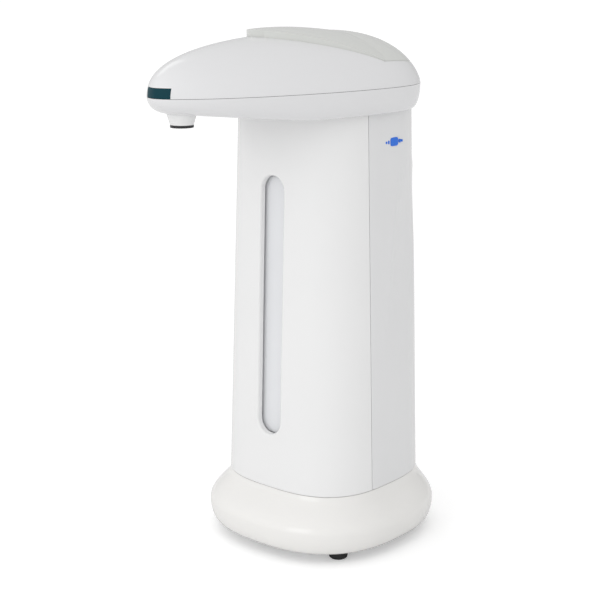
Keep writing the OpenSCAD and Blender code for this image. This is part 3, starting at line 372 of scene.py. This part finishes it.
# ---------- head ----------
HEAD_YC = -1.5
H_FRONT = NOSE + HEAD_YC
H_AFT = (dome_hi[1] - AXIS_Y) - HEAD_YC
BEAK_P, BEAK_Q, BACK_P = 1.6, 1.75, 2.4
DOME_LOW = HEAD_SEAM
LID_TIP_Y, LID_STEP = -38.0, 2.5
LID_LOW = DOME_LOW + 5.4
BEAK_CLOSE, BACK_CLOSE = 2.6, 2.4
LID_HALF, LID_BACK_Y, LID_BACK_POWER = 27.4, 31, 2.6
LID_GAP = 0.35
SWING_R, SWING_HALF = 4.8, 18
KNUCKLE_R, KNUCKLE_HALF = 1.8, 11
SIDE_CLOSE, SIDE_POWER = 1.35, 2.1
WIN_BEHIND = 3.7
LOWER_PULL = 3.4
NECK_R, NECK_Y = 16, -6
RISE_Z, RISE_Y = 3.6, -36.0
DOME_WALL = 2.0
TIP_SHARE = (1 - ((HEAD_YC - LID_TIP_Y) / H_FRONT) ** BEAK_CLOSE) ** (1 / BEAK_CLOSE)
DOME_TOP = DOME_LOW + (TOTAL_H - LID_STEP - DOME_LOW) / TIP_SHARE


# The head's plan is a pointed curve ahead of HEAD_YC and a fuller one behind it. Going up, each side closes in by
# its own power: BEAK_CLOSE ahead, BACK_CLOSE behind and SIDE_CLOSE across.
def head_ring(half, fore, aft, z, n=256):
    a = np.linspace(0, 2 * math.pi, n, endpoint=False)
    c, s = np.cos(a), np.sin(a)
    t = np.clip(-s, 0, 1)
    xf = half * np.sign(c) * np.maximum(0, 1 - t ** BEAK_P) ** (1 / BEAK_Q)
    x = np.where(s < 0, xf, half * spow(c, 2 / BACK_P))
    y = np.where(s < 0, HEAD_YC + fore * s, HEAD_YC + aft * spow(s, 2 / BACK_P))
    return np.stack([x, y, np.full(n, z)], axis=1)


def dome_scale(h, wall=0.0):
    return (max(0.05, (HEAD_HALF - wall) * (1 - h ** SIDE_CLOSE) ** (1 / SIDE_POWER)),
            max(0.05, (H_FRONT - wall) * (1 - h ** BEAK_CLOSE) ** (1 / BEAK_CLOSE)),
            max(0.05, (H_AFT - wall) * (1 - h ** BACK_CLOSE) ** (1 / BACK_CLOSE)))


def dome_ring(h, wall=0.0):
    w, f, b = dome_scale(h, wall)
    return head_ring(w, f, b, mix(DOME_LOW, DOME_TOP - wall, h))


def plan_implicit(x, y, w, f, b):
    t = np.clip(np.where(y < HEAD_YC, (HEAD_YC - y) / f, (y - HEAD_YC) / b), 0, 4)
    front = (np.abs(x) / w) ** BEAK_Q + t ** BEAK_P
    back = (np.abs(x) / w) ** BACK_P + t ** BACK_P
    return np.where(y < HEAD_YC, front, back)


def dome_implicit(p, lift=None):
    x, y, z = p[:, 0], p[:, 1], p[:, 2]
    if lift is not None:
        z = z - lift(y)
    h = np.clip((z - DOME_LOW) / (DOME_TOP - DOME_LOW), 0.0, 0.9995)
    w = HEAD_HALF * (1 - h ** SIDE_CLOSE) ** (1 / SIDE_POWER)
    f = H_FRONT * (1 - h ** BEAK_CLOSE) ** (1 / BEAK_CLOSE)
    b = H_AFT * (1 - h ** BACK_CLOSE) ** (1 / BACK_CLOSE)
    return plan_implicit(x, y, w, f, b) ** 0.5


def lid_raise(y):
    t = np.clip((2 - y) / (2 - LID_TIP_Y), 0, 1)
    return LID_STEP * t * (2 - t)


DOME_LEVELS = np.concatenate([[0], np.sin(np.linspace(0, math.pi / 2, 64))[1:-1], [0.9992]])


def dome_body(name, wall, lift=False):
    outer = [dome_ring(h) for h in DOME_LEVELS]
    inner = [dome_ring(h, wall) for h in DOME_LEVELS[::3]]
    if lift:
        for r in outer:
            r[:, 2] += lid_raise(r[:, 1])
    return loft(name, outer[::-1] + inner)


def lid_outline(grow, n=36):
    t = np.linspace(0, 1, n) ** 1.4
    front = np.stack([LID_HALF * t ** 0.7, mix(LID_TIP_Y, 0, t)], axis=1)
    a = np.linspace(0, math.pi / 2, n)[1:]
    turn = 2 / LID_BACK_POWER
    back = np.stack([LID_HALF * np.cos(a) ** turn, LID_BACK_Y * np.sin(a) ** turn], axis=1)
    back[-1, 0] = 0
    right = np.concatenate([front, back])
    left = right[1:-1][::-1] * np.array([-1, 1])
    pts = np.concatenate([right, left])
    mid = np.array([0, -4.0])
    d = pts - mid
    return pts + d / np.linalg.norm(d, axis=1, keepdims=True) * grow


dome = dome_body("head_dome_skin", DOME_WALL)
boolean(dome, prism("lid_cutter", lid_outline(LID_GAP), LID_LOW - LID_GAP, 200))
p_lo, p_hi = mm_box("lid_hinge_pin")
PIN_Y, PIN_Z = (p_lo[1] + p_hi[1]) / 2 - AXIS_Y, (p_lo[2] + p_hi[2]) / 2
turns = np.linspace(0, 2 * math.pi, 48, endpoint=False)
swing = [(PIN_Y + SWING_R * math.cos(t), PIN_Z + SWING_R * math.sin(t)) for t in turns]
boolean(dome, loft("swing_cutter", [[(x, y, z) for y, z in swing] for x in (-SWING_HALF, SWING_HALF)]))
w_lo, w_hi = mm_box("sensor_window")
WIN_HALF = (w_hi[0] - w_lo[0]) / 2
WIN_BACK_Y = w_hi[1] - AXIS_Y + WIN_BEHIND


def window_box(grow):
    """Outline round the sensor window, from ahead of the nose to behind the window."""
    half, back = WIN_HALF + grow, WIN_BACK_Y + 3 * grow
    return [(-half, -NOSE - 2), (half, -NOSE - 2), (half, back), (-half, back)]


boolean(dome, prism("window_cutter", window_box(0.1), DOME_LOW - 1, w_hi[2] + 0.1))
shape_normals(dome, dome_implicit)
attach(dome, "housing")
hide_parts("head_upper_shell")

window = dome_body("sensor_window_skin", 1.9)
boolean(window, prism("window_block", window_box(0), DOME_LOW + 0.05, w_hi[2]), "INTERSECT")
shape_normals(window, dome_implicit)
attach(window, "housing")
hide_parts("sensor_window")

lid = dome_body("filler_lid_skin", DOME_WALL, lift=True)
boolean(lid, prism("lid_block", lid_outline(0.0), LID_LOW, 200), "INTERSECT")
# a channel over the hinge knuckles, open below and behind the pin so the ears stay clear as the lid swings
half_turn = np.linspace(0, math.pi, 24)
over = [(PIN_Y + KNUCKLE_R * math.cos(t), PIN_Z + KNUCKLE_R * math.sin(t)) for t in half_turn]
channel = [(PIN_Y + 12, PIN_Z), *over, (PIN_Y - KNUCKLE_R, PIN_Z - 6), (PIN_Y + 12, PIN_Z - 6)]
boolean(lid, loft("lid_channel", [[(x, y, z) for y, z in channel] for x in (-KNUCKLE_HALF, KNUCKLE_HALF)]))
shape_normals(lid, lambda p: dome_implicit(p, lid_raise))
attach(lid, "lid")
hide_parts("filler_lid")


def floor_lift(y):
    """Rise of the head's floor towards the nose."""
    return RISE_Z * np.clip((RISE_Y - y) / (NOSE + RISE_Y - 8), 0, 1)


def lower_ring(t, inset=0.0):
    pull = LOWER_PULL * (1 - math.sqrt(1 - (1 - t) ** 2 * 0.98))
    half, fore, aft = HEAD_HALF - pull, H_FRONT - 2.4 * pull, H_AFT - 0.5 * pull
    ring = head_ring(half - inset, fore - inset, aft - inset, 0)
    ring[:, 2] = mix(HEAD_FLOOR + floor_lift(ring[:, 1]), HEAD_SEAM - 0.12, t)
    return ring


def side_to_side(name, rings):
    """A skin whose ends are closed by strips from side to side, for ends that rise along Y."""
    ob = loft(name, rings, caps=False)
    bm = bmesh.new()
    bm.from_mesh(ob.data)
    bm.verts.ensure_lookup_table()
    n, m = len(rings[0]), len(rings)
    for base in (0, (m - 1) * n):
        for i in range(n // 2):
            p = (3 * n // 4 + i) % n
            q = (p + 1) % n
            quad = [p, q, (3 * n // 2 - q) % n, (3 * n // 2 - p) % n]
            bm.faces.new([bm.verts[base + k] for k in dict.fromkeys(quad)])
    bmesh.ops.recalc_face_normals(bm, faces=bm.faces)
    bm.to_mesh(ob.data)
    bm.free()
    return ob


ts = 1 - np.cos(np.linspace(0, math.pi / 2, 26))
rings = [lower_ring(t) for t in ts] + [lower_ring(t, 2.0) for t in np.linspace(1, 0.3, 10)]
lower = side_to_side("head_lower_skin", rings)
turns = np.linspace(0, 2 * math.pi, 96, endpoint=False)
neck = [(NECK_R * math.cos(t), NECK_R * math.sin(t) + NECK_Y) for t in turns]
boolean(lower, prism("neck_cutter", neck, HEAD_FLOOR - 3, HEAD_FLOOR + 6))
crease(lower, 50)
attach(lower, "housing")
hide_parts("head_lower_shell")


# ---------- materials ----------
def material(name, base, rough=0.25, metallic=0.0, coat=0.0, bump=0.0, vary=0.03, subsurface=0.0, spec=0.5):
    """A plain finish whose colour drifts a little over the piece, with a fine grain where bump is set."""
    mat = bpy.data.materials.new(name)
    mat.use_nodes = True
    nt = mat.node_tree
    bsdf = nt.nodes["Principled BSDF"]
    bsdf.inputs["Roughness"].default_value = rough
    bsdf.inputs["Metallic"].default_value = metallic
    bsdf.inputs["Coat Weight"].default_value = coat
    bsdf.inputs["Coat Roughness"].default_value = 0.05
    bsdf.inputs["Specular IOR Level"].default_value = spec
    bsdf.inputs["IOR"].default_value = 1.5
    bsdf.inputs["Subsurface Weight"].default_value = subsurface
    bsdf.inputs["Subsurface Radius"].default_value = (0.004, 0.003, 0.003)
    tc = nt.nodes.new("ShaderNodeTexCoord")
    noise = nt.nodes.new("ShaderNodeTexNoise")
    noise.inputs["Scale"].default_value = 30.0
    noise.inputs["Detail"].default_value = 3.0
    ramp = nt.nodes.new("ShaderNodeValToRGB")
    ramp.color_ramp.elements[0].position = 0.3
    ramp.color_ramp.elements[1].position = 0.7
    ramp.color_ramp.elements[0].color = tuple(c * (1 - vary) for c in base) + (1,)
    ramp.color_ramp.elements[1].color = tuple(min(1, c * (1 + vary * 0.5)) for c in base) + (1,)
    nt.links.new(tc.outputs["Object"], noise.inputs["Vector"])
    nt.links.new(noise.outputs["Fac"], ramp.inputs["Fac"])
    nt.links.new(ramp.outputs["Color"], bsdf.inputs["Base Color"])
    if bump:
        fine = nt.nodes.new("ShaderNodeTexNoise")
        fine.inputs["Scale"].default_value = 400.0
        fine.inputs["Detail"].default_value = 2.0
        b = nt.nodes.new("ShaderNodeBump")
        b.inputs["Strength"].default_value = bump
        b.inputs["Distance"].default_value = 0.0002
        nt.links.new(tc.outputs["Object"], fine.inputs["Vector"])
        nt.links.new(fine.outputs["Fac"], b.inputs["Height"])
        nt.links.new(b.outputs["Normal"], bsdf.inputs["Normal"])
    return mat


MATS = {
    "ivory_shell": material("ivory_shell", (0.86, 0.85, 0.83), rough=0.16, coat=0.5, vary=0.01),
    "white_shell": material("white_shell", (0.85, 0.85, 0.85), rough=0.25, vary=0.01),
    "warm_shell": material("warm_shell", (0.86, 0.86, 0.86), rough=0.14, coat=0.5, vary=0.01),
    "cool_shell": material("cool_shell", (0.79, 0.792, 0.798), rough=0.16, coat=0.5, vary=0.01),
    "head_shell": material("head_shell", (0.79, 0.79, 0.80), rough=0.16, coat=0.5, vary=0.01),
    "lid_shell": material("lid_shell", (0.69, 0.70, 0.675), rough=0.2, coat=0.4, vary=0.01),
    "tray": material("tray", (0.7, 0.7, 0.7), rough=0.45),
    "black_rubber": material("black_rubber", (0.012, 0.012, 0.013), rough=0.6, bump=0.3),
    "steel": material("steel", (0.6, 0.61, 0.63), rough=0.28, metallic=1.0, bump=0.1),
    "brass": material("brass", (0.72, 0.55, 0.25), rough=0.3, metallic=1.0),
    "cell_sleeve": material("cell_sleeve", (0.03, 0.06, 0.16), rough=0.3),
    "natural_nylon": material("natural_nylon", (0.75, 0.73, 0.66), rough=0.5, subsurface=0.1),
    "blue_mark": material("blue_mark", (0.01, 0.16, 0.75), rough=0.3),
    "button": material("button", (0.6, 0.63, 0.68), rough=0.25),
    "black_plastic": material("black_plastic", (0.012, 0.012, 0.014), rough=0.35),
    "circuit_board": material("circuit_board", (0.01, 0.1, 0.04), rough=0.4, vary=0.2),
    "clear_tank": material("clear_tank", (0.80, 0.81, 0.83), rough=0.3, vary=0.02),
    "silicone": material("silicone", (0.7, 0.71, 0.73), rough=0.5, subsurface=0.1),
    "dark_teal_window": material("dark_teal_window", (0.002, 0.045, 0.06), rough=0.5, spec=0.15),
    "light_lens": material("light_lens", (0.6, 0.03, 0.02), rough=0.2),
    "red_wire": material("red_wire", (0.4, 0.01, 0.01), rough=0.45),
}
slot_of = {s["node"]: s["material_slot"] for s in REC["subparts"]}


def paint(ob, slot_name):
    ob.data.materials.clear()
    ob.data.materials.append(MATS[slot_name])


for node, ob in frame["nodes"].items():
    paint(ob, slot_of[node])
skins = {front: "warm_shell", rear: "cool_shell", skirt: "ivory_shell", dome: "head_shell",
         lower: "head_shell", lid: "lid_shell", window: "dark_teal_window"}
for ob, slot_name in skins.items():
    paint(ob, slot_name)

# ---------- floor, light and camera ----------
# the floor glows a little to the camera alone, so that it meets the white background
fm = material("floor", (0.9, 0.9, 0.9), rough=0.7, vary=0.002, spec=0.1)
fm.node_tree.nodes["Principled BSDF"].inputs["Emission Color"].default_value = (1, 1, 1, 1)
seen_by = fm.node_tree.nodes.new("ShaderNodeLightPath")
glow = fm.node_tree.nodes.new("ShaderNodeMath")
glow.operation = "MULTIPLY"
glow.inputs[1].default_value = 0.3
fm.node_tree.links.new(seen_by.outputs["Is Camera Ray"], glow.inputs[0])
fm.node_tree.links.new(glow.outputs[0], fm.node_tree.nodes["Principled BSDF"].inputs["Emission Strength"])
bpy.ops.mesh.primitive_plane_add(size=30, location=(0, 0, 0))
floor = bpy.context.object
floor.name = "floor"
floor.data.materials.append(fm)

world = bpy.data.worlds.new("studio")
bpy.context.scene.world = world
world.use_nodes = True
wt = world.node_tree
# the sky lights the piece from the nose side, and the camera sees plain white
sky = wt.nodes["Background"]
sky.inputs["Color"].default_value = (1, 1, 1, 1)
aim = wt.nodes.new("ShaderNodeTexCoord")
side = wt.nodes.new("ShaderNodeVectorMath")
side.operation = "DOT_PRODUCT"
side.inputs[1].default_value = (0.12, -0.97, 0.2)
level = wt.nodes.new("ShaderNodeMapRange")
level.inputs["From Min"].default_value = -1.0
level.inputs["From Max"].default_value = 1.0
level.inputs["To Min"].default_value = 0.54
level.inputs["To Max"].default_value = 1.1
wt.links.new(aim.outputs["Generated"], side.inputs[0])
wt.links.new(side.outputs["Value"], level.inputs["Value"])
wt.links.new(level.outputs["Result"], sky.inputs["Strength"])
seen = wt.nodes.new("ShaderNodeBackground")
seen.inputs["Color"].default_value = (1, 1, 1, 1)
seen.inputs["Strength"].default_value = 1.0
path = wt.nodes.new("ShaderNodeLightPath")
both = wt.nodes.new("ShaderNodeMixShader")
wt.links.new(path.outputs["Is Camera Ray"], both.inputs["Fac"])
wt.links.new(sky.outputs["Background"], both.inputs[1])
wt.links.new(seen.outputs["Background"], both.inputs[2])
wt.links.new(both.outputs["Shader"], wt.nodes["World Output"].inputs["Surface"])


def area(name, where, target, size, power):
    data = bpy.data.lights.new(name, "AREA")
    data.energy = power
    data.size = size
    ob = bpy.data.objects.new(name, data)
    ob.location = where
    ob.rotation_euler = (Vector(target) - Vector(where)).to_track_quat("-Z", "Y").to_euler()
    bpy.context.scene.collection.objects.link(ob)


area("key", (0.1, -1.3, 0.55), (0, 0, 0.1), 0.7, 1.6)
area("rim", (-0.8, 0.2, 0.9), (0, 0, 0.15), 0.5, 0.5)

cam_data = bpy.data.cameras.new("camera")
cam = bpy.data.objects.new("camera", cam_data)
bpy.context.scene.collection.objects.link(cam)
CAMERA_AT, CAMERA_AIM = Vector((0.3264, -0.3653, 0.2144)), Vector((0, 0.00884, 0.09123))
cam.location = CAMERA_AT
cam.rotation_euler = (CAMERA_AIM - CAMERA_AT).to_track_quat("-Z", "Y").to_euler()
cam_data.lens = 83.5
cam_data.sensor_width = 36
cam_data.clip_start = 0.01
bpy.context.scene.camera = cam
bpy.context.scene.view_settings.view_transform = "Standard"
